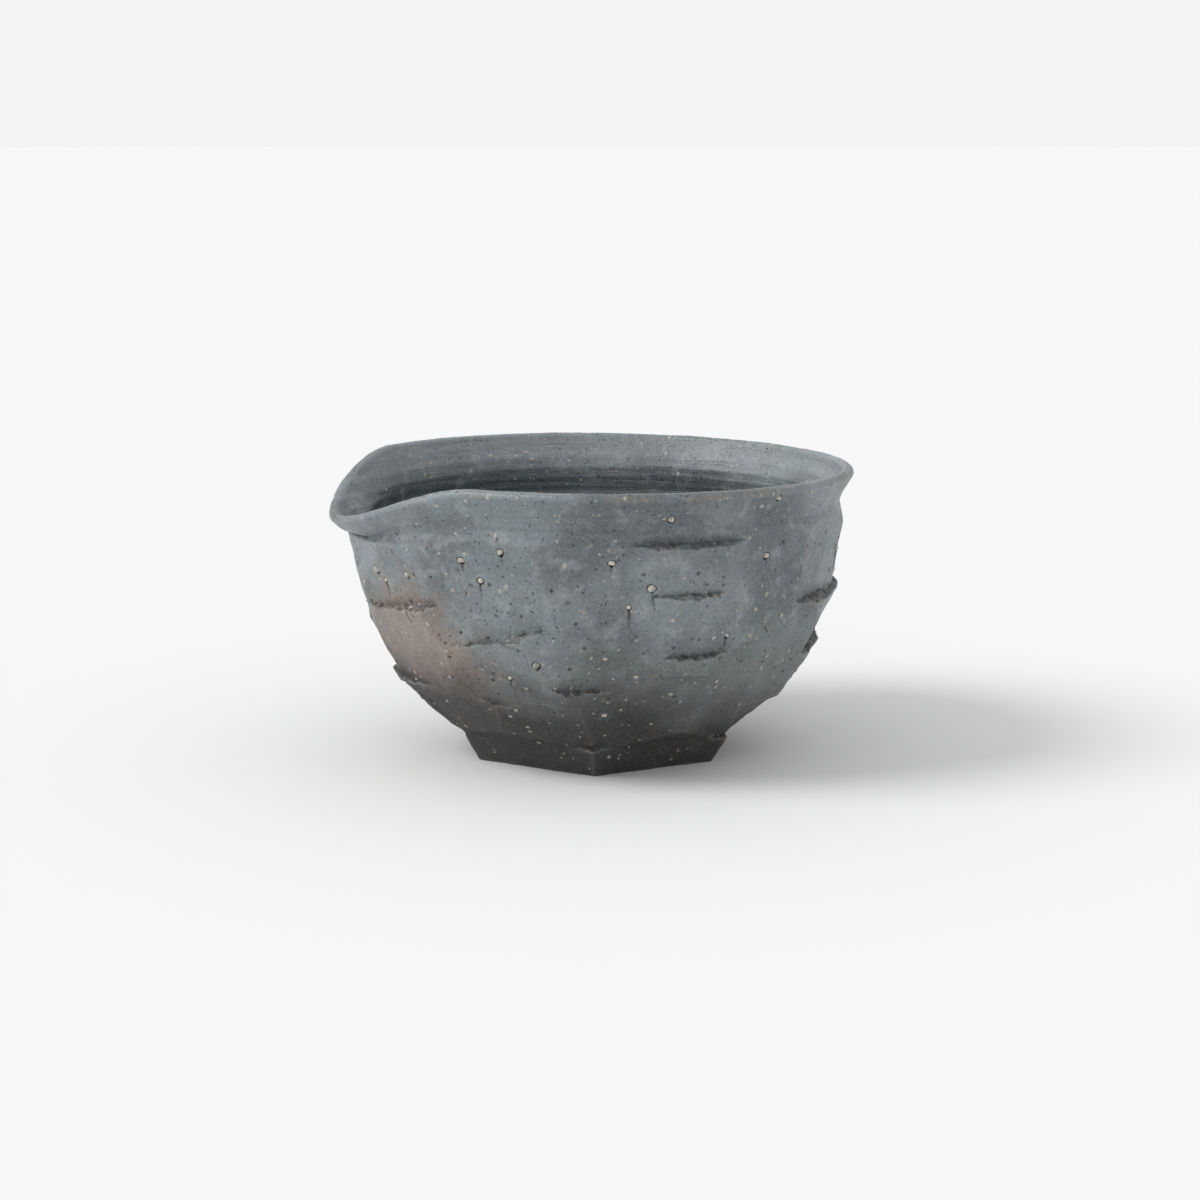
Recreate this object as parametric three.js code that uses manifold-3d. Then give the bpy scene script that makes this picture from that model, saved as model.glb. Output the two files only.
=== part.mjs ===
// A katakuchi: a lipped stoneware bowl that pours sake. It is thrown thick on the wheel, its lip is
// pulled into a spout, and its outside is cut down with a knife when leather-hard. Every knife stroke
// leaves a flat facet that leans in towards the foot and a torn ledge where the chip broke off. The
// clay holds coarse feldspar stones, which stand in pits where the clay shrank away from them.
//
// Millimetres, +Z up. The origin is on the throwing axis at the underside of the foot. The spout
// points along -X. Bearings are degrees round the bowl from the spout, anticlockwise from above.
import * as THREE from 'three';
import { mergeVertices } from 'three/addons/utils/BufferGeometryUtils.js';
import Module from 'manifold-3d';

const wasm = await Module();
wasm.setup();
const DEG = Math.PI / 180;

// Thrown form
const rimRadius = 56.5;        // outside of the lip
const bowlHeight = 65;         // table to the crown of the lip
const lipThickness = 2.8;
const neckRadius = 53.5;       // outside of the waist under the flared lip
const neckDrop = 7.5;          // lip crown down to that waist
const shoulderDrop = 13;       // lip crown down to where the thick wall starts
const shoulderBulge = 1.6;     // how far the thick wall stands out past the waist
const footRadius = 32;         // uncut foot at the table
const neckWall = 3.1;          // clay behind the waist
const cutWall = 4.6;           // thick wall at the shoulder before any cutting
const floorThickness = 9;      // table to the middle of the inside
const rimSag = 1.0;            // the lip runs this much lower opposite the spout

// Spout, pulled out and down from the lip with two fingers at its sides
const spoutReach = 60;         // axis to the spout's outer edge
const spoutDrop = 9.8;         // how far the lip is pulled down at the spout
const spoutHalfAngle = 47;     // bearing at which the lip is level again
const spoutPinch = 0.4;        // how far the fingers press the lip in on each side
const spoutDepth = 17;         // lip crown down to where the pull fades out
const spoutRoll = 1.3;         // how much thicker the lip is where it is rolled over the spout

// Foot, cut to six sides
const footSides = 6;
const footFlat = 25.5;         // axis to each side at the table
const footFlatTop = 29.4;      // axis to each side where the foot's cut ends
const footCutHeight = 7;
const footTurn = 41;           // bearing of the first side

const stoneClearance = 0.25;   // gap the shrinking clay leaves round each stone
const stoneSink = 0.5;         // share of a stone's radius that its middle lies under the surface
const stoneShape = [1.15, 0.9, 0.85];   // how a grain departs from round, along its three axes
const stoneTurn = 1.7;         // radians from one grain's lie to the next

const segments = 96;           // round the thrown form
const bladeLength = 90;        // longer than any facet is wide
const bladeReach = 24;         // from the facet out past the uncut clay
const ledgeSlope = 28;         // degrees that a torn ledge falls outwards

const shoulderRadius = neckRadius + shoulderBulge;
const shoulderHeight = bowlHeight - shoulderDrop;
const neckHeight = bowlHeight - neckDrop;
const lipRadius = lipThickness / 2;

// Knife strokes as [bearing, height where the blade goes in, its bite there, height where the chip
// breaks off, its bite there, degrees that the ledge climbs anticlockwise]. A bite is measured in
// from the uncut wall, and is negative where the blade is still outside it.
const neckStrokes = [
  [93, 60, -0.3, 53.8, 2.5, 0],
  [208, 60, -0.2, 54.4, 1.6, -4],
  [298, 60, -0.2, 53.4, 1.9, 5],
];
const upperStrokes = [
  [19, 50, -0.5, 37.6, 3.1, 7],
  [45, 55, -0.5, 32.4, 3.2, 15],
  [72, 58, -0.4, 31.0, 2.2, 2],
  [93, 55, -0.2, 43.0, 2.3, 1],
  [117, 57, -0.4, 31.5, 2.2, 2],
  [137, 56, -0.4, 38.4, 2.9, 2],
  [163, 56, -0.4, 38.8, 2.6, -2],
  [189, 57, -0.5, 35.5, 2.9, -6],
  [214, 56, -0.4, 41.0, 2.8, 8],
  [240, 57, -0.5, 33.5, 3.0, -9],
  [264, 56, -0.4, 38.8, 2.9, 6],
  [286, 58, -0.5, 34.0, 2.8, 12],
  [306, 55, -0.3, 42.5, 2.6, -4],
  [326, 54, -0.5, 36.2, 2.9, 8],
  [348, 50, -0.5, 33.2, 2.0, -7],
];
const middleStrokes = [
  [20, 37, 0.6, 18.6, 3.2, -3],
  [50, 32, 0.8, 16.2, 3.6, -10],
  [74, 34, 1.9, 22.0, 3.0, 0],
  [99, 43, 0.3, 29.6, 2.0, 1],
  [119, 35, 2.0, 17.5, 3.4, 4],
  [150, 37, 0.3, 26.0, 2.4, 8],
  [151, 27, -0.2, 12.4, 1.8, 2],
  [181, 35, 0.4, 21.5, 3.4, -8],
  [208, 40, 0.8, 25.0, 3.3, 7],
  [236, 34, 2.6, 18.0, 3.7, -5],
  [262, 38, 0.6, 27.0, 3.0, 9],
  [288, 33, 2.0, 17.0, 3.6, -6],
  [314, 36, 0.8, 24.4, 3.3, 4],
  [344, 33, 0.4, 19.4, 1.8, 8],
];
const lowerStrokes = [
  [26, 20, 3.0, 6.4, 5.6, 2],
  [57, 18, 3.4, 7.2, 6.6, -3],
  [87, 25, 2.4, 7.0, 6.6, 0],
  [118, 20, 3.2, 7.0, 6.4, 2],
  [186, 21, 1.8, 7.0, 6.4, -2],
  [214, 24, 3.2, 7.2, 6.4, 3],
  [245, 19, 3.6, 7.0, 6.2, 3],
  [272, 24, 2.8, 6.6, 6.4, -3],
  [298, 17, 3.4, 7.2, 6.4, 2],
  [325, 23, 2.6, 6.9, 5.8, -2],
  [353, 17, 0.8, 5.0, 4.8, 3],
];
// Strokes made the other way, up from the foot: the chip breaks off at the top and leaves an overhang.
const risingStrokes = [
  [140, 5.5, 6.4, 12.6, 5.2, -5],
  [166, 5.5, 6.2, 11.4, 4.8, 4],
];

// Stones as [bearing, how far below the crown of the lip, radius]
const stones = [
  [12, 20.4, 1.05],
  [14, 22.6, 0.75],
  [24, 20.2, 0.75],
  [41, 15.4, 0.75],
  [51, 13.0, 0.85],
  [45, 19.6, 0.75],
  [22, 27.4, 0.75],
  [58, 37.2, 0.85],
  [49, 41.0, 0.65],
  [76, 14.8, 0.75],
  [85, 20.2, 1.0],
  [89, 6.0, 0.9],
  [115, 3.0, 0.75],
  [115, 15.4, 0.75],
  [80, 24.2, 0.65],
  [105, 31.6, 0.65],
  [75, 49.4, 0.75],
  [150, 18.0, 0.75],
  [176, 9.2, 0.85],
  [183, 21.0, 1.0],
  [214, 34.0, 0.85],
  [226, 6.5, 0.75],
  [232, 22.0, 0.9],
  [255, 14.4, 1.0],
  [277, 19.4, 0.75],
  [286, 42.6, 0.85],
  [300, 16.8, 0.75],
  [325, 20.8, 0.9],
  [338, 39.4, 0.75],
  [350, 24.0, 0.75],
];

// The uncut wall: upright at the shoulder and running in to the foot along a parabola.
const wallCurve = new THREE.QuadraticBezierCurve(
  new THREE.Vector2(footRadius, 0),
  new THREE.Vector2(shoulderRadius, shoulderHeight / 2),
  new THREE.Vector2(shoulderRadius, shoulderHeight),
);

const lipCentreRadius = rimRadius - lipRadius;
const lipCentreHeight = bowlHeight - lipRadius;
const neckCurve = new THREE.SplineCurve([
  new THREE.Vector2(shoulderRadius, shoulderHeight),
  new THREE.Vector2(neckRadius, neckHeight),
  new THREE.Vector2(rimRadius, lipCentreHeight),
]);

// Radius of the uncut outside at a height.
function uncutRadius(height) {
  if (height <= shoulderHeight) {
    return wallCurve.getPoint(height / shoulderHeight).x;
  }
  const rise = (height - shoulderHeight) / (lipCentreHeight - shoulderHeight);
  return neckCurve.getPoint(rise).x;
}

// A closed solid from a geometry whose seams are doubled vertices.
function solidFrom(geometry) {
  const bare = geometry.clone();
  bare.deleteAttribute('normal');
  bare.deleteAttribute('uv');
  const merged = mergeVertices(bare, 1e-4);
  const corners = merged.index.array;
  const triangles = [];
  for (let i = 0; i < corners.length; i += 3) {
    const [a, b, c] = [corners[i], corners[i + 1], corners[i + 2]];
    if (a !== b && b !== c && c !== a) {
      triangles.push(a, b, c);
    }
  }
  return new wasm.Manifold(new wasm.Mesh({
    numProp: 3,
    vertProperties: new Float32Array(merged.attributes.position.array),
    triVerts: new Uint32Array(triangles),
  }));
}

function geometryFrom(solid) {
  const mesh = solid.getMesh();
  const geometry = new THREE.BufferGeometry();
  geometry.setAttribute('position', new THREE.BufferAttribute(mesh.vertProperties, 3));
  geometry.setIndex(new THREE.BufferAttribute(mesh.triVerts, 1));
  geometry.computeVertexNormals();
  return geometry;
}

// Moves the lip of a turned form: down and out at the spout, in beside it, and a little down opposite.
// The inside is held back by the roll below the crown, so that the lip is thicker at the spout.
function pullSpout(geometry, roll) {
  const position = geometry.attributes.position;
  for (let i = 0; i < position.count; i++) {
    const [x, y, z] = [position.getX(i), position.getY(i), position.getZ(i)];
    const radius = Math.hypot(x, y);
    const fade = THREE.MathUtils.smoothstep(z, bowlHeight - spoutDepth, lipCentreHeight);
    if (fade === 0 || radius === 0) {
      continue;
    }
    const bearing = Math.abs(Math.atan2(y, -x)) / DEG;
    const near = THREE.MathUtils.clamp(1 - bearing / spoutHalfAngle, 0, 1);
    const pull = near * near * (3 - 2 * near);
    const pinch = Math.sin(Math.PI * near) ** 2;
    const rolled = roll * THREE.MathUtils.smoothstep(bowlHeight - z, 0, lipThickness);
    const out = (spoutReach - rimRadius - rolled) * pull - spoutPinch * pinch;
    const sag = rimSag * Math.sin(bearing / 2 * DEG) ** 4;
    const moved = (radius + out * fade) / radius;
    position.setXYZ(i, x * moved, y * moved, z - (spoutDrop * pull + sag) * fade);
  }
  return geometry;
}

// Turned solid from a profile of [radius, height] points that starts and ends on the axis.
function thrown(profile, roll) {
  const lathe = new THREE.LatheGeometry(profile, segments);
  lathe.rotateX(Math.PI / 2);
  return solidFrom(pullSpout(lathe, roll));
}

// Outside of the thick thrown bowl, closed over its mouth by the top of the lip.
function thrownBlank() {
  const profile = [new THREE.Vector2(0, 0)];
  profile.push(...wallCurve.getPoints(8));
  profile.push(...neckCurve.getPoints(9).slice(1));
  for (const turn of [30, 60, 90]) {
    profile.push(new THREE.Vector2(
      lipCentreRadius + lipRadius * Math.cos(turn * DEG),
      lipCentreHeight + lipRadius * Math.sin(turn * DEG),
    ));
  }
  profile.push(new THREE.Vector2(0, bowlHeight));
  return thrown(profile, 0);
}

// Space inside the bowl, from the floor up through the mouth. Its top stands clear of the lip.
function thrownInside() {
  const innerShoulder = shoulderRadius - cutWall;
  const innerNeck = neckRadius - neckWall;
  const profile = [];
  const rings = 12;
  for (let ring = 0; ring <= rings; ring++) {
    const turn = ring / rings * 90 * DEG;
    profile.push(new THREE.Vector2(
      innerShoulder * Math.sin(turn),
      shoulderHeight - (shoulderHeight - floorThickness) * Math.cos(turn),
    ));
  }
  const lipInside = rimRadius - lipThickness;
  const flare = new THREE.SplineCurve([
    new THREE.Vector2(innerShoulder, shoulderHeight),
    new THREE.Vector2(innerNeck, neckHeight),
    new THREE.Vector2(lipInside, lipCentreHeight),
  ]);
  profile.push(...flare.getPoints(8).slice(1));
  for (const turn of [30, 60, 90]) {
    profile.push(new THREE.Vector2(
      lipCentreRadius - lipRadius * Math.cos(turn * DEG),
      lipCentreHeight + lipRadius * Math.sin(turn * DEG),
    ));
  }
  profile.push(new THREE.Vector2(lipCentreRadius, bowlHeight + spoutDrop));
  profile.push(new THREE.Vector2(0, bowlHeight + spoutDrop));
  return thrown(profile, spoutRoll);
}

// The clay that one stroke takes off. Side on it is a wedge: the facet, the torn end, and open air.
function knifeStroke([bearing, startHeight, startBite, endHeight, endBite, climb]) {
  const start = new THREE.Vector2(uncutRadius(startHeight) - startBite, startHeight);
  const end = new THREE.Vector2(uncutRadius(endHeight) - endBite, endHeight);
  return wedge(bearing, start, end, climb);
}

function wedge(bearing, start, end, climb) {
  const down = Math.sign(end.y - start.y);
  const side = new THREE.Shape([
    new THREE.Vector2(0, 0),
    start.clone().sub(end),
    new THREE.Vector2(start.x - end.x + bladeReach, start.y - end.y),
    new THREE.Vector2(bladeReach, down * bladeReach * Math.tan(ledgeSlope * DEG)),
  ]);
  const blade = new THREE.ExtrudeGeometry(side, { depth: bladeLength, bevelEnabled: false });
  blade.translate(0, 0, -bladeLength / 2);
  blade.rotateX(Math.PI / 2);
  blade.rotateX(climb * DEG);
  blade.translate(end.x, 0, end.y);
  blade.rotateZ(Math.PI + bearing * DEG);
  return solidFrom(blade);
}

function footCuts() {
  const cuts = [];
  for (let side = 0; side < footSides; side++) {
    const bearing = footTurn + side * 360 / footSides;
    const below = new THREE.Vector2(
      footFlat - (footFlatTop - footFlat) / footCutHeight,
      -1,
    );
    cuts.push(wedge(bearing, below, new THREE.Vector2(footFlatTop, footCutHeight), 0));
  }
  return cuts;
}

function carvedBody() {
  const strokes = [neckStrokes, upperStrokes, middleStrokes, lowerStrokes, risingStrokes].flat();
  const cutters = [...strokes.map(knifeStroke), ...footCuts()];
  let body = thrownBlank();
  for (const cutter of cutters) {
    body = body.subtract(cutter);
  }
  return body.subtract(thrownInside());
}

// An angular grain seated in the surface that its bearing and level meet, and the pit round it.
function seatedStone(surface, [bearing, drop, radius], index) {
  const out = new THREE.Vector3(-1, 0, 0).applyAxisAngle(new THREE.Vector3(0, 0, 1), bearing * DEG);
  const from = out.clone().multiplyScalar(2 * rimRadius).setZ(bowlHeight - drop);
  const hit = new THREE.Raycaster(from, out.clone().negate()).intersectObject(surface)[0];
  const middle = hit.point.clone().addScaledVector(hit.face.normal, -stoneSink * radius);
  const grain = (size) => {
    const geometry = new THREE.IcosahedronGeometry(size, 0);
    geometry.scale(...stoneShape);
    geometry.rotateX(index * stoneTurn);
    geometry.rotateZ(index);
    return geometry.translate(middle.x, middle.y, middle.z);
  };
  return { stone: grain(radius), pit: grain(radius + stoneClearance / Math.min(...stoneShape)) };
}

function clayMaterial() {
  return new THREE.MeshStandardMaterial({ color: 0x5c656b, roughness: 0.62, metalness: 0 });
}

function feldsparMaterial() {
  return new THREE.MeshStandardMaterial({ color: 0xc9c2b2, roughness: 0.5, metalness: 0 });
}

const carved = carvedBody();
const carvedSurface = new THREE.Mesh(geometryFrom(carved));
const seated = stones.map((stone, index) => seatedStone(carvedSurface, stone, index));

let pitted = carved;
for (const { pit } of seated) {
  pitted = pitted.subtract(solidFrom(pit));
}
const clayBody = new THREE.Mesh(geometryFrom(pitted), clayMaterial());
clayBody.name = 'clay_body';

const pitcher = new THREE.Group();
pitcher.add(clayBody);
seated.forEach(({ stone }, index) => {
  const grain = new THREE.Mesh(stone, feldsparMaterial());
  grain.name = `feldspar_stone_${String(index + 1).padStart(2, '0')}`;
  pitcher.add(grain);
});

export default pitcher;
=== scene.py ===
import math
import random

import bmesh
import bpy
import numpy as np
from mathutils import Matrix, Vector, kdtree, noise


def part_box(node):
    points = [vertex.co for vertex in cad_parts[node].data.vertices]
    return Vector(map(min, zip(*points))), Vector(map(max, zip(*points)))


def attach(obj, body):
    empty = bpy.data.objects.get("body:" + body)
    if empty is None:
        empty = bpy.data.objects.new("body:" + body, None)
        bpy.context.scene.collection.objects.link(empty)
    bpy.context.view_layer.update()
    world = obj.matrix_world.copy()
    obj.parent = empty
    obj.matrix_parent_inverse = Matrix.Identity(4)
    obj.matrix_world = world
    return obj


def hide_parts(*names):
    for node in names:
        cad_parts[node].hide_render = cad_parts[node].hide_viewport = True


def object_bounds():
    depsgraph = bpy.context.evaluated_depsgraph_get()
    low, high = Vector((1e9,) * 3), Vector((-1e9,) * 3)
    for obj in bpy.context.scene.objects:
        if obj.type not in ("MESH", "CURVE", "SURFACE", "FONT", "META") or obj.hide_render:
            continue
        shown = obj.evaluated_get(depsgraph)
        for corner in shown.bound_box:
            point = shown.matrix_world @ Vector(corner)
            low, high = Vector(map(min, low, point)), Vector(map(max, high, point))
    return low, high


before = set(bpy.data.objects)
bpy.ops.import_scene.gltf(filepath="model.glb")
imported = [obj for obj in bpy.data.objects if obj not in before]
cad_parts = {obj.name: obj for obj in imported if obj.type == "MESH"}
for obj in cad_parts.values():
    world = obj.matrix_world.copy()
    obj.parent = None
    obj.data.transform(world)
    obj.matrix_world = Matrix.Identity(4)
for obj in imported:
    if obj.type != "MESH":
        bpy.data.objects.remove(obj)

mm = 0.001
hair = 1e-6                          # metres: nothing on the bowl is as fine as this
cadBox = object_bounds()
scene = bpy.context.scene
stoneNodes = sorted(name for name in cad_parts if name.startswith("feldspar"))
print("frame loaded:", len(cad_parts), "nodes")

# camera: a little above the rim, spout to the left
camera = {
    "azimuth": -17,                  # degrees
    "distance": 600 * mm,
    "height": 140 * mm,
    "aimHeight": 33.3 * mm,
    "lens": 81.8,
    "sensorWidth": 36,
    "sideShift": 2 / 1200,           # two of the picture's 1200 pixels
    "nearest": 0.01,
    "farthest": 100,
}


def placeCamera():
    data = bpy.data.cameras.new("camera")
    data.lens = camera["lens"]
    data.sensor_width = camera["sensorWidth"]
    data.shift_x = camera["sideShift"]
    data.clip_start = camera["nearest"]
    data.clip_end = camera["farthest"]
    eye = bpy.data.objects.new("camera", data)
    scene.collection.objects.link(eye)
    turn = math.radians(camera["azimuth"])
    reach = camera["distance"]
    eye.location = (math.sin(turn) * reach, -math.cos(turn) * reach, camera["height"])
    look = Vector((0, 0, camera["aimHeight"])) - eye.location
    eye.rotation_euler = look.to_track_quat("-Z", "Y").to_euler()
    scene.camera = eye


placeCamera()

# the carved clay: how the fired surface departs from the clean knife cuts, in millimetres
clay = {
    "voxel": 0.38,
    "edgeSoftening": 1,              # smoothing passes over the arrises
    "keptShare": 0.36,               # of the faces, once the surface is weathered
    "seed": 11,

    # unevenness: how far it pushes, the size of its bumps, its place in the noise, its detail
    "tear": {"push": 0.45, "size": 2.6, "place": 3.1, "octaves": 3},
    "tearGrit": {"push": 0.30, "size": 1.3, "place": 1.7, "octaves": 4},
    "warp": {"push": 0.28, "size": 7.0, "place": 9.4, "octaves": 2},
    "skin": {"push": 0.055, "size": 1.3, "place": 5.2, "octaves": 3},
    "noiseFade": 0.9,                # how fast the finer octaves fade
    "noiseGap": 2.0,                 # each octave is this many times finer than the last
    "noiseSkew": 0.7,
    "warpOnTurned": 0.35,            # share of the warp on the lip and inside
    "tearSpread": 5,                 # passes that carry a ledge's raggedness outwards
    "tearFade": 0.96,                # what is left of it after each pass

    # throwing rings: height, spacing, and how they wander round the bowl
    "throwingRings": 0.08, "ringPitch": 2.6,
    "ringLean": 0.8, "ringWander": 1.5, "ringWanderRate": 0.35,
    "ringsInside": 0.8, "ringsOnLip": 0.35,

    # pits and grains: depth, rise and the painted shade round a pit are in shares of each one's own
    # radius
    "pits": 420, "pitSize": (0.25, 0.55), "pitDepth": 0.8, "pitCurve": 0.7, "pitShade": 1.2,
    "grains": 420, "grainSize": (0.25, 0.5), "grainRise": 0.4, "grainEdge": (1.05, 0.75),
    "spotReach": 1.6,
    "spotsAbove": 3,                 # the edge of the foot stays clean
    "pitZone": 0.6,                  # pits only where the clay is carved this surely

    # furrows under the stones
    "dragLength": (2.0, 6.0), "dragWidth": 0.42, "dragDepth": 0.4, "dragDrift": 0.12,
    "dragStart": -0.3, "dragOutward": 0.2, "dragZone": 0.3,

    # where each kind of surface lies; a lean is how far the normal points that way,
    # first where the zone starts and then where it is full
    "insideLean": (-0.15, 0.25), "insideAbove": 8.5,
    "wellRadius": 22, "wellAbove": 5,
    "lipBand": 58.5, "lipFade": 8,   # the turned lip is above the band, and fades in below it
    "ledgeLean": (0.25, 0.6),
    "wallLedgeLean": (0.35, 0.7), "wallFrom": (22, 27), "wallTop": 55, "wallOutward": 0.05,

    # how strongly bends and hollows mark the finish: outward bends as arrises, inward bends and hollows
    # as painted shade
    "bendSoftening": 2, "bendGain": 5, "hollowShadeGain": 0.8, "lipTurned": 0.5,
}


def meshArrays(mesh):
    count = len(mesh.vertices)
    points = np.empty(count * 3)
    normals = np.empty(count * 3)
    mesh.vertices.foreach_get("co", points)
    mesh.vertices.foreach_get("normal", normals)
    return points.reshape(-1, 3), normals.reshape(-1, 3)


def edgePairs(mesh):
    edges = np.empty(len(mesh.edges) * 2, dtype=np.int64)
    mesh.edges.foreach_get("vertices", edges)
    return edges.reshape(-1, 2)


def movePoints(mesh, points):
    mesh.vertices.foreach_set("co", points.ravel())
    mesh.update()


def neighbourMean(edges, values):
    total = np.zeros_like(values)
    degree = np.zeros(len(values))
    for here, there in ((0, 1), (1, 0)):
        np.add.at(total, edges[:, here], values[edges[:, there]])
        np.add.at(degree, edges[:, here], 1)
    return total / np.maximum(degree, 1).reshape(-1, *[1] * (values.ndim - 1))


def smoothed(edges, values, passes):
    for _ in range(passes):
        values = (values + neighbourMean(edges, values)) / 2
    return values


def noiseAt(points, layer):
    offset = Vector((layer["place"], layer["place"] * clay["noiseSkew"], -layer["place"]))
    scaled = points / (layer["size"] * mm)
    shape = (clay["noiseFade"], clay["noiseGap"], layer["octaves"])
    return np.array([noise.fractal(Vector(point) + offset, *shape) for point in scaled])


def smoothStep(values, low, high):
    share = np.clip((values - low) / (high - low), 0, 1)
    return share * share * (3 - 2 * share)


def refinedCopy(node, name, voxel):
    piece = bpy.data.objects.new(name, node.data.copy())
    scene.collection.objects.link(piece)
    piece.data.remesh_voxel_size = voxel * mm
    bpy.context.view_layer.objects.active = piece
    piece.select_set(True)
    bpy.ops.object.voxel_remesh()
    piece.select_set(False)
    return piece


# which points are inside, on the lip, on a torn ledge or on the carved outside, each 0 to 1
def surfaceZones(points, normals):
    radius = np.hypot(points[:, 0], points[:, 1])
    across = points[:, 0] * normals[:, 0] + points[:, 1] * normals[:, 1]
    outward = across / np.maximum(radius, hair)
    height = points[:, 2] / mm
    inside = smoothStep(-outward, *clay["insideLean"]) * (height > clay["insideAbove"])
    well = (radius < clay["wellRadius"] * mm) & (height > clay["wellAbove"])
    inside = np.where(well, 1.0, inside)
    lip = smoothStep(height, clay["lipBand"] - clay["lipFade"], clay["lipBand"])
    ledge = smoothStep(normals[:, 2], *clay["ledgeLean"]) * (1 - inside) * (1 - lip)
    nearest, farthest = clay["wallFrom"]
    wall = smoothStep(radius, nearest * mm, farthest * mm) * (height < clay["wallTop"])
    wall = wall * (outward > clay["wallOutward"])
    ledge = np.maximum(ledge, smoothStep(normals[:, 2], *clay["wallLedgeLean"]) * wall)
    outer = 1 - inside
    return {
        "outward": outward,
        "height": height,
        "inside": inside,
        "lip": lip,
        "ledge": np.clip(ledge, 0, 1),
        "outer": outer,
        "carved": outer * (1 - lip),
    }


def throwingRings(points, zones):
    bearing = np.arctan2(points[:, 1], points[:, 0])
    climb = zones["height"] / clay["ringPitch"] * 2 * math.pi
    wander = clay["ringWander"] * np.sin(zones["height"] * clay["ringWanderRate"])
    rings = np.sin(climb + bearing * clay["ringLean"] + wander)
    onLip = zones["lip"] * zones["outer"] * clay["ringsOnLip"]
    return rings * clay["throwingRings"] * (zones["inside"] * clay["ringsInside"] + onLip)


def roughen(points, normals, edges, zones):
    nearLedge = zones["ledge"].copy()
    for _ in range(clay["tearSpread"]):
        nearLedge = np.maximum(nearLedge * clay["tearFade"], neighbourMean(edges, nearLedge))

    # the torn ends run ragged, so they are pushed up and down as well as in and out
    lift = noiseAt(points, clay["tear"]) * nearLedge * zones["carved"]
    points[:, 2] += lift * clay["tear"]["push"] * mm
    turned = clay["warpOnTurned"]
    warpShare = turned + (1 - turned) * zones["carved"]
    push = noiseAt(points, clay["warp"]) * clay["warp"]["push"] * warpShare
    push += noiseAt(points, clay["tearGrit"]) * clay["tearGrit"]["push"] * nearLedge * zones["carved"]
    push += noiseAt(points, clay["skin"]) * clay["skin"]["push"]
    push += throwingRings(points, zones)
    points += normals * (push * mm)[:, None]


def treeOf(points):
    tree = kdtree.KDTree(len(points))
    for index, point in enumerate(points):
        tree.insert(point, index)
    tree.balance()
    return tree


def stampSpots(points, tree, seats, count, sizes, rng, stamp):
    for _ in range(count):
        seat = seats[rng.randrange(len(seats))]
        size = rng.uniform(*sizes) * mm
        found = tree.find_range(Vector(points[seat]), size * clay["spotReach"])
        index = np.array([item[1] for item in found])
        distance = np.array([item[2] for item in found]) / size
        stamp(index, distance, size)


def stampPitsAndGrains(points, normals, zones, hollowShade, pale, rng):
    def sinkPit(index, distance, size):
        depth = np.clip(1 - distance, 0, 1) ** clay["pitCurve"] * clay["pitDepth"] * size
        points[index] -= normals[index] * depth[:, None]
        # painted shade: a dark ring round each pit
        hollowShade[index] = np.maximum(hollowShade[index], np.clip(clay["pitShade"] - distance, 0, 1))

    def raiseGrain(index, distance, size):
        rise = np.sqrt(np.clip(1 - distance ** 2, 0, 1)) * clay["grainRise"] * size
        points[index] += normals[index] * rise[:, None]
        edge, crown = clay["grainEdge"]
        pale[index] = np.maximum(pale[index], smoothStep(-distance, -edge, -crown))

    tree = treeOf(points)
    clear = zones["height"] > clay["spotsAbove"]
    carvedSeats = np.flatnonzero((zones["carved"] > clay["pitZone"]) & clear)
    anySeats = np.flatnonzero(clear)
    stampSpots(points, tree, carvedSeats, clay["pits"], clay["pitSize"], rng, sinkPit)
    stampSpots(points, tree, anySeats, clay["grains"], clay["grainSize"], rng, raiseGrain)


# a stone caught by the blade is dragged down and leaves a furrow under itself
def dragStones(points, normals, zones, hollowShade, rng):
    exposed = (zones["outward"] > clay["dragOutward"]) & (zones["carved"] > clay["dragZone"])
    for name in stoneNodes:
        low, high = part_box(name)
        middle = (low + high) / 2
        length = rng.uniform(*clay["dragLength"])
        drift = rng.uniform(-clay["dragDrift"], clay["dragDrift"])
        reach = math.hypot(middle.x, middle.y)
        side = (points[:, 0] * -middle.y + points[:, 1] * middle.x) / reach / mm
        facing = (points[:, 0] * middle.x + points[:, 1] * middle.y) > 0
        below = middle.z / mm - zones["height"]
        near = (below > clay["dragStart"]) & (below < length) & facing & exposed
        across = np.abs(side - below * drift) / clay["dragWidth"]
        near &= across < 1
        depth = (1 - across ** 2) * (1 - np.clip(below, 0, None) / length) * clay["dragDepth"]
        points[near] -= normals[near] * (depth[near] * mm)[:, None]
        # painted shade along the furrow
        hollowShade[near] = np.maximum(hollowShade[near], depth[near] / clay["dragDepth"])


# the finish reads these: ledge, arris, painted crease shade and pale grain, and where the clay was
# turned
def storeZones(mesh, edges, zones, hollowShade, pale):
    points, normals = meshArrays(mesh)
    bend = ((points - neighbourMean(edges, points)) * normals).sum(1) / (clay["voxel"] * mm)
    bend = smoothed(edges, bend, clay["bendSoftening"]) * clay["bendGain"]
    marks = np.stack([
        zones["ledge"] * zones["carved"],
        np.clip(bend, 0, 1) * zones["outer"],
        # painted shade in inward bends, pits and furrows
        np.clip(-bend + hollowShade * clay["hollowShadeGain"], 0, 1),
        pale,
    ], 1)
    layer = mesh.attributes.new("clayZones", "FLOAT_COLOR", "POINT")
    layer.data.foreach_set("color", marks.ravel().astype(np.float32))
    turned = np.maximum(zones["inside"], zones["lip"] * clay["lipTurned"])
    layer = mesh.attributes.new("turnedZone", "FLOAT", "POINT")
    layer.data.foreach_set("value", turned.astype(np.float32))


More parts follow.
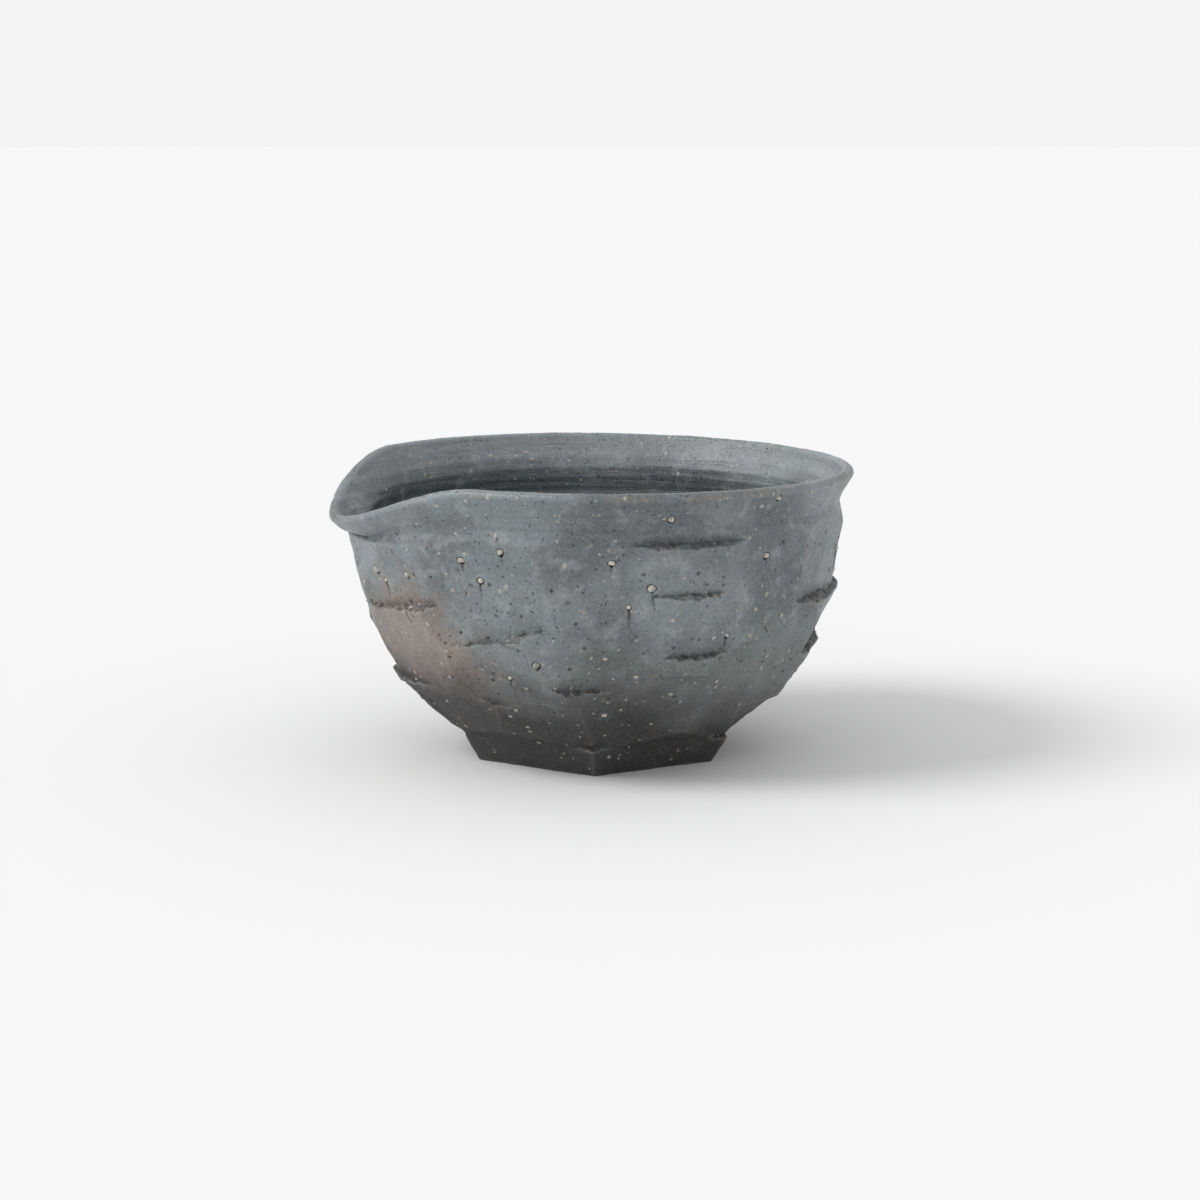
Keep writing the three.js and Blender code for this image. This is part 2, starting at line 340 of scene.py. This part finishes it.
def weatherClay(piece):
    mesh = piece.data
    edges = edgePairs(mesh)
    points = meshArrays(mesh)[0]
    movePoints(mesh, smoothed(edges, points, clay["edgeSoftening"]))
    points, normals = meshArrays(mesh)
    zones = surfaceZones(points, normals)
    roughen(points, normals, edges, zones)
    rng = random.Random(clay["seed"])
    hollowShade = np.zeros(len(points))
    pale = np.zeros(len(points))
    stampPitsAndGrains(points, normals, zones, hollowShade, pale, rng)
    dragStones(points, normals, zones, hollowShade, rng)
    low, high = cadBox
    movePoints(mesh, np.clip(points, np.array(low), np.array(high)))
    storeZones(mesh, edges, zones, hollowShade, pale)
    mesh.polygons.foreach_set("use_smooth", np.ones(len(mesh.polygons), dtype=bool))
    mesh.update()


# flat stretches of the facets and the inside need far fewer faces than the torn ends
def thinOut(piece):
    thinning = piece.modifiers.new("thinning", "DECIMATE")
    thinning.ratio = clay["keptShare"]
    shown = piece.evaluated_get(bpy.context.evaluated_depsgraph_get())
    thinned = bpy.data.meshes.new_from_object(shown)
    piece.modifiers.remove(thinning)
    piece.data = thinned


# a small node graph helper: every call adds one node and wires its inputs
class Recipe:
    def __init__(self, name):
        self.material = bpy.data.materials.new(name)
        self.material.use_nodes = True
        self.tree = self.material.node_tree
        self.shader = self.tree.nodes["Principled BSDF"]

    def add(self, kind, inputs=None, **settings):
        node = self.tree.nodes.new(kind)
        for key, value in settings.items():
            setattr(node, key, value)
        for key, value in (inputs or {}).items():
            self.feed(node.inputs[key], value)
        return node

    def feed(self, socket, value):
        if isinstance(value, bpy.types.NodeSocket):
            self.tree.links.new(value, socket)
        else:
            socket.default_value = value

    def math(self, operation, first, second, clamp=False):
        sockets = {0: first, 1: second}
        return self.add("ShaderNodeMath", sockets, operation=operation, use_clamp=clamp).outputs[0]

    def plus(self, first, second, clamp=False):
        return self.math("ADD", first, second, clamp)

    def minus(self, first, second):
        return self.math("SUBTRACT", first, second)

    def times(self, first, second):
        return self.math("MULTIPLY", first, second)

    def rest(self, value):
        return self.minus(1.0, value)

    # a value that runs from 0 to 1 sways both ways by half of the reach
    def sway(self, value, reach):
        return self.times(self.minus(value, 0.5), reach)

    def vector(self, operation, first, second):
        return self.add("ShaderNodeVectorMath", {0: first, 1: second}, operation=operation).outputs

    def mix(self, factor, first, second):
        node = self.add("ShaderNodeMix", {0: factor}, data_type="RGBA")
        for socket, colour in ((node.inputs[6], first), (node.inputs[7], second)):
            linked = isinstance(colour, bpy.types.NodeSocket)
            self.feed(socket, colour if linked else (*colour, 1))
        return node.outputs[2]

    def coat(self, under, tint, mask, strength):
        return self.mix(self.times(mask, strength), under, tint)

    def ramp(self, value, ends):
        sockets = {0: value, 1: ends[0], 2: ends[1]}
        return self.add("ShaderNodeMapRange", sockets, interpolation_type="SMOOTHSTEP").outputs[0]

    def cloud(self, where, shape):
        scale, detail, roughness = shape
        sockets = {"Vector": where, "Scale": scale, "Detail": detail, "Roughness": roughness}
        return self.add("ShaderNodeTexNoise", sockets).outputs[0]

    def stretch(self, where, scale):
        sockets = {"Vector": where, "Scale": scale}
        return self.add("ShaderNodeMapping", sockets, vector_type="POINT").outputs[0]

    # dots scattered over cells: some cells hold one, of the given size
    def dots(self, where, scale, size, channel, rarity):
        cells = self.add("ShaderNodeTexVoronoi", {"Vector": where, "Scale": scale})
        draw = self.add("ShaderNodeSeparateColor", {0: cells.outputs["Color"]}).outputs[channel]
        inside = self.math("LESS_THAN", cells.outputs["Distance"], size)
        return self.times(inside, self.math("GREATER_THAN", draw, rarity))

    def bump(self, relief, strength, depth):
        sockets = {"Height": relief, "Strength": strength, "Distance": depth}
        self.feed(self.shader.inputs["Normal"], self.add("ShaderNodeBump", sockets).outputs[0])


# heights, places and reaches are in metres; a cloud is its scale, detail and roughness
clayFinish = {
    "slate": (0.190, 0.226, 0.243),
    "smoke": (0.098, 0.118, 0.130),
    # pale colour for haze blooms, dust and worn arrises, and for the painted sheen inside the lip
    "hazeAndSheen": (0.33, 0.365, 0.385),
    "olive": (0.120, 0.124, 0.108),
    "tan": (0.270, 0.195, 0.150),
    "soot": (0.019, 0.0165, 0.016),
    "ochre": (0.34, 0.225, 0.13),
    "torn": (0.085, 0.086, 0.084),
    "grit": (0.52, 0.49, 0.42),
    "dullGrit": (0.34, 0.31, 0.26),
    # dark colour for painted shade in creases, pits, furrows and pores, also used for the grime
    "hollowShade": (0.030, 0.032, 0.034),

    "driftCloud": (38, 3, 0.55),
    "mottleCloud": (210, 5, 0.65),
    "fineCloud": (1500, 3, 0.7),
    "slateFrom": (0.38, 0.64),
    "hazeFrom": (0.48, 0.72), "hazeShare": 0.55,

    # the olive cast low on the bowl
    "oliveDrift": 0.03, "oliveEnds": (0.032, 0.056), "oliveShare": 0.6,

    # the warm patch below the spout, towards the camera
    "tanPlace": (-0.046, -0.017, 0.026), "tanReach": 0.024, "tanCore": 0.45,
    "tanRagged": 0.03, "tanShare": 0.8,

    # soot climbs from the foot, higher on one side
    "sootLean": (0.105, -0.032, 0.0), "sootRagged": 0.03,
    "sootEnds": (0.010, 0.031), "sootShare": 0.93,

    "tornFrom": (0.45, 0.7), "tornShare": 0.5,
    "creaseShadeShare": 0.9,
    "rustCloud": (90, 2, 0.55), "rustFrom": (0.47, 0.60), "rustShare": 0.75,
    "wornShare": 0.35,

    # painted shade and sheen: turned clay darkens downwards, mostly inside the bowl, and the inside is
    # lightened under the lip
    "deepShadeEnds": (0.048, 0.057), "deepShadeShare": 0.55,
    "flareZone": (0.6, 0.9), "flareEnds": (0.055, 0.061), "flareSheenShare": 0.35,

    # pores and specks are dots, knocked out of round; the pores are darkened with painted shade
    "ruffleScale": 900.0, "ruffle": 0.0012,
    "poreScale": 760.0, "poreSize": 0.2, "poreRarity": 0.72, "poreShadeShare": 0.8,
    "speckScale": 620.0, "speckSize": 0.19, "speckRarity": 0.80, "speckShare": 0.75,
    "grimeFrom": (0.50, 0.68), "grimeShare": 0.40,
    "dustCloud": (2200, 3, 0.65), "dustFrom": (0.52, 0.66), "dustShare": 0.30, "dustOnSoot": 0.6,

    "facetRoughness": 0.36, "tornRoughness": 0.85,
    "mottleRoughness": 0.35, "sootRoughness": 0.22, "creaseRoughness": 0.3,
    "shine": 0.55,

    # fine relief: knife strokes run down the facets, wheel marks run round
    "strokeStretch": (1.0, 1.0, 0.09), "strokeCloud": (900, 3, 0.6), "strokeRelief": 0.6,
    "wheelStretch": (0.05, 0.05, 1.0), "wheelCloud": (1300, 3, 0.6), "wheelRelief": 1.3,
    "sandCloud": (4200, 2, 0.6), "sandRelief": 0.25,
    "fineRelief": 0.7, "poreRelief": 0.8,
    "bump": 0.75, "bumpDepth": 0.00025,
}


# what every layer of the finish looks up
def clayMarks(recipe):
    look = clayFinish
    where = recipe.add("ShaderNodeTexCoord").outputs["Object"]
    zones = recipe.add("ShaderNodeAttribute", attribute_name="clayZones").outputs
    parts = recipe.add("ShaderNodeSeparateColor", {0: zones["Color"]}).outputs
    height = recipe.add("ShaderNodeSeparateXYZ", {0: where}).outputs[2]
    drift = recipe.cloud(where, look["driftCloud"])
    sootLine = recipe.plus(height, recipe.sway(drift, look["sootRagged"]))
    sootLine = recipe.plus(sootLine, recipe.vector("DOT_PRODUCT", where, look["sootLean"])["Value"])
    ruffle = recipe.add("ShaderNodeTexNoise", {"Vector": where, "Scale": look["ruffleScale"]}).outputs[1]
    knock = recipe.vector("MULTIPLY", ruffle, (look["ruffle"],) * 3)[0]
    knocked = recipe.vector("ADD", where, knock)[0]
    return {
        "where": where,
        "height": height,
        "knocked": knocked,
        "ledge": parts[0],
        "arris": parts[1],
        "creaseShade": parts[2],
        "grain": zones["Alpha"],
        "turned": recipe.add("ShaderNodeAttribute", attribute_name="turnedZone").outputs["Fac"],
        "drift": drift,
        "mottle": recipe.cloud(where, look["mottleCloud"]),
        "fine": recipe.cloud(where, look["fineCloud"]),
        "soot": recipe.rest(recipe.ramp(sootLine, look["sootEnds"])),
        "pore": recipe.dots(knocked, look["poreScale"], look["poreSize"], 1, look["poreRarity"]),
    }


def smokeAndFire(recipe, at):
    look = clayFinish
    colour = recipe.mix(recipe.ramp(at["drift"], look["slateFrom"]), look["smoke"], look["slate"])
    blooms = recipe.ramp(at["mottle"], look["hazeFrom"])
    colour = recipe.coat(colour, look["hazeAndSheen"], blooms, look["hazeShare"])
    line = recipe.plus(at["height"], recipe.times(at["drift"], look["oliveDrift"]))
    low = recipe.rest(recipe.ramp(line, look["oliveEnds"]))
    colour = recipe.coat(colour, look["olive"], low, look["oliveShare"])
    away = recipe.vector("DISTANCE", at["where"], look["tanPlace"])["Value"]
    ragged = recipe.plus(away, recipe.sway(at["mottle"], look["tanRagged"]))
    warm = recipe.rest(recipe.ramp(ragged, (look["tanReach"] * look["tanCore"], look["tanReach"])))
    colour = recipe.coat(colour, look["tan"], warm, look["tanShare"])
    return recipe.coat(colour, look["soot"], at["soot"], look["sootShare"])


def tornAndWorn(recipe, at, colour):
    look = clayFinish
    tornTone = recipe.mix(recipe.ramp(at["mottle"], look["tornFrom"]), look["torn"], look["tan"])
    colour = recipe.coat(colour, tornTone, at["ledge"], look["tornShare"])
    # painted shade in the creases, pits and furrows
    colour = recipe.coat(colour, look["hollowShade"], at["creaseShade"], look["creaseShadeShare"])
    patches = recipe.ramp(recipe.cloud(at["where"], look["rustCloud"]), look["rustFrom"])
    colour = recipe.coat(colour, look["ochre"], recipe.times(at["arris"], patches), look["rustShare"])
    return recipe.coat(colour, look["hazeAndSheen"], at["arris"], look["wornShare"])


def shadeInside(recipe, at, colour):
    look = clayFinish
    # painted shade: the inside darkens downwards, in the soot colour
    paintedDeepShade = recipe.times(at["turned"], recipe.rest(recipe.ramp(at["height"], look["deepShadeEnds"])))
    colour = recipe.coat(colour, look["soot"], paintedDeepShade, look["deepShadeShare"])
    # painted sheen: the inner flare under the lip is lightened towards the pale colour
    inside = recipe.ramp(at["turned"], look["flareZone"])
    flareSheen = recipe.times(inside, recipe.ramp(at["height"], look["flareEnds"]))
    return recipe.coat(colour, look["hazeAndSheen"], flareSheen, look["flareSheenShare"])


def poresAndGrit(recipe, at, colour):
    look = clayFinish
    # painted shade in the pores
    colour = recipe.coat(colour, look["hollowShade"], at["pore"], look["poreShadeShare"])
    speck = recipe.dots(at["knocked"], look["speckScale"], look["speckSize"], 0, look["speckRarity"])
    pale = recipe.math("MAXIMUM", recipe.times(speck, look["speckShare"]), at["grain"], clamp=True)
    colour = recipe.mix(pale, colour, recipe.mix(at["fine"], look["grit"], look["dullGrit"]))
    grime = recipe.ramp(at["fine"], look["grimeFrom"])
    # grime: a real dark tone of the clay, in the same dark colour as the painted hollow shade
    colour = recipe.coat(colour, look["hollowShade"], grime, look["grimeShare"])
    dust = recipe.ramp(recipe.cloud(at["where"], look["dustCloud"]), look["dustFrom"])
    clean = recipe.rest(recipe.times(at["soot"], look["dustOnSoot"]))
    return recipe.coat(colour, look["hazeAndSheen"], dust, recipe.times(clean, look["dustShare"]))


def clayRoughness(recipe, at):
    look = clayFinish
    facet = recipe.plus(look["facetRoughness"], recipe.sway(at["mottle"], look["mottleRoughness"]))
    sockets = {0: at["ledge"], 2: facet, 3: look["tornRoughness"]}
    rough = recipe.add("ShaderNodeMix", sockets, data_type="FLOAT").outputs[0]
    rough = recipe.plus(rough, recipe.times(at["soot"], look["sootRoughness"]))
    return recipe.plus(rough, recipe.times(at["creaseShade"], look["creaseRoughness"]), clamp=True)


def clayRelief(recipe, at):
    look = clayFinish
    stroke = recipe.cloud(recipe.stretch(at["where"], look["strokeStretch"]), look["strokeCloud"])
    relief = recipe.times(at["fine"], look["fineRelief"])
    relief = recipe.plus(relief, recipe.times(stroke, look["strokeRelief"]))
    sand = recipe.cloud(at["where"], look["sandCloud"])
    relief = recipe.plus(relief, recipe.times(sand, recipe.plus(look["sandRelief"], at["ledge"])))
    wheel = recipe.cloud(recipe.stretch(at["where"], look["wheelStretch"]), look["wheelCloud"])
    relief = recipe.plus(relief, recipe.times(wheel, recipe.times(at["turned"], look["wheelRelief"])))
    return recipe.minus(relief, recipe.times(at["pore"], look["poreRelief"]))


def clayMaterial():
    recipe = Recipe("smoke fired clay")
    at = clayMarks(recipe)
    colour = smokeAndFire(recipe, at)
    colour = tornAndWorn(recipe, at, colour)
    colour = shadeInside(recipe, at, colour)
    colour = poresAndGrit(recipe, at, colour)
    recipe.feed(recipe.shader.inputs["Base Color"], colour)
    recipe.feed(recipe.shader.inputs["Roughness"], clayRoughness(recipe, at))
    recipe.bump(clayRelief(recipe, at), clayFinish["bump"], clayFinish["bumpDepth"])
    recipe.shader.inputs["Specular IOR Level"].default_value = clayFinish["shine"]
    return recipe.material


stoneFinish = {
    "cream": (0.52, 0.50, 0.45),
    "shade": (0.24, 0.225, 0.19),
    "veinCloud": (1100, 4, 0.6), "veinFrom": (0.42, 0.68),
    "roughness": 0.35, "veinRoughness": 0.4,
    "sandCloud": (3000, 4, 0.55),
    "bump": 0.5, "bumpDepth": 0.0002,
}


def stoneMaterial():
    look = stoneFinish
    recipe = Recipe("half melted feldspar")
    where = recipe.add("ShaderNodeTexCoord").outputs["Object"]
    veins = recipe.cloud(where, look["veinCloud"])
    colour = recipe.mix(recipe.ramp(veins, look["veinFrom"]), look["cream"], look["shade"])
    recipe.feed(recipe.shader.inputs["Base Color"], colour)
    rough = recipe.plus(look["roughness"], recipe.times(veins, look["veinRoughness"]))
    recipe.feed(recipe.shader.inputs["Roughness"], rough)
    recipe.bump(recipe.cloud(where, look["sandCloud"]), look["bump"], look["bumpDepth"])
    return recipe.material


stones = {
    "cuts": 3,
    "roundness": 0.35,
    "fit": 0.98,                     # of the solid's size, before it is chipped
    "chip": 0.30,
    "chipScale": 0.9,                # millimetres
    "chipStep": 3.0,                 # each stone takes its own place in the noise
}


def chippedStone(node, index):
    mesh = node.data.copy()
    body = bmesh.new()
    body.from_mesh(mesh)
    bmesh.ops.remove_doubles(body, verts=body.verts, dist=hair)
    bmesh.ops.subdivide_edges(
        body, edges=body.edges, cuts=stones["cuts"], use_grid_fill=True, smooth=stones["roundness"]
    )
    low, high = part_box(node.name)
    middle = (low + high) / 2
    ownPlace = Vector((index * stones["chipStep"], 0, 0))
    for vertex in body.verts:
        knock = noise.noise(vertex.co / (stones["chipScale"] * mm) + ownPlace)
        vertex.co = middle + (vertex.co - middle) * (stones["fit"] + stones["chip"] * knock)
        spans = zip(low, high, vertex.co)
        vertex.co = Vector(max(least, min(most, value)) for least, most, value in spans)
    for face in body.faces:
        face.smooth = True
    body.to_mesh(mesh)
    body.free()
    piece = bpy.data.objects.new("chipped_stone_%02d" % index, mesh)
    scene.collection.objects.link(piece)
    return piece


def dress(piece, node, material):
    piece.data.materials.clear()
    piece.data.materials.append(material)
    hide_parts(node)
    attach(piece, "root")


carved = refinedCopy(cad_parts["clay_body"], "carved_clay_bowl", clay["voxel"])
print("clay remeshed:", len(carved.data.polygons), "faces")
weatherClay(carved)
print("clay weathered")
thinOut(carved)
print("clay thinned:", len(carved.data.polygons), "faces")
dress(carved, "clay_body", clayMaterial())

feldspar = stoneMaterial()
for index, name in enumerate(stoneNodes, 1):
    dress(chippedStone(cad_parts[name], index), name, feldspar)
print("stones set:", len(stoneNodes))

# a pale floor, a soft sky and one soft window to the left
studio = {
    "floorReach": 12,
    "floorSides": 96,
    "floorColour": (0.84, 0.84, 0.84),
    "floorRoughness": 0.9,
    "floorShine": 0.1,
    "backdrop": (0.90, 0.90, 0.90),
    "sky": (1, 1, 1),
    "skyStrength": 0.76,
    "sunStrength": 1.7,
    "sunSoftness": 28,               # degrees
    "sunPlace": (-0.62, 0.02, 0.55),
}


def pourFloor():
    body = bmesh.new()
    bmesh.ops.create_circle(
        body, cap_ends=True, segments=studio["floorSides"], radius=studio["floorReach"]
    )
    mesh = bpy.data.meshes.new("floor")
    body.to_mesh(mesh)
    body.free()
    floor = bpy.data.objects.new("floor", mesh)
    scene.collection.objects.link(floor)
    recipe = Recipe("pale paper")
    recipe.shader.inputs["Base Color"].default_value = (*studio["floorColour"], 1)
    recipe.shader.inputs["Roughness"].default_value = studio["floorRoughness"]
    recipe.shader.inputs["Specular IOR Level"].default_value = studio["floorShine"]
    mesh.materials.append(recipe.material)


def hangWindow():
    sun = bpy.data.lights.new("window", "SUN")
    sun.energy = studio["sunStrength"]
    sun.angle = math.radians(studio["sunSoftness"])
    lamp = bpy.data.objects.new("window", sun)
    lamp.rotation_euler = (-Vector(studio["sunPlace"])).to_track_quat("-Z", "Y").to_euler()
    scene.collection.objects.link(lamp)


# the camera sees a plain backdrop, and the sky only lights the bowl
def openSky():
    world = bpy.data.worlds.new("studio")
    world.use_nodes = True
    scene.world = world
    nodes = world.node_tree.nodes
    links = world.node_tree.links
    sky = nodes["Background"]
    sky.inputs["Color"].default_value = (*studio["sky"], 1)
    sky.inputs["Strength"].default_value = studio["skyStrength"]
    backdrop = nodes.new("ShaderNodeBackground")
    backdrop.inputs["Color"].default_value = (*studio["backdrop"], 1)
    backdrop.inputs["Strength"].default_value = 1
    path = nodes.new("ShaderNodeLightPath")
    mix = nodes.new("ShaderNodeMixShader")
    links.new(path.outputs["Is Camera Ray"], mix.inputs[0])
    links.new(sky.outputs[0], mix.inputs[1])
    links.new(backdrop.outputs[0], mix.inputs[2])
    links.new(mix.outputs[0], nodes["World Output"].inputs[0])


pourFloor()
hangWindow()
openSky()
scene.view_settings.view_transform = "Standard"
print("studio lit")
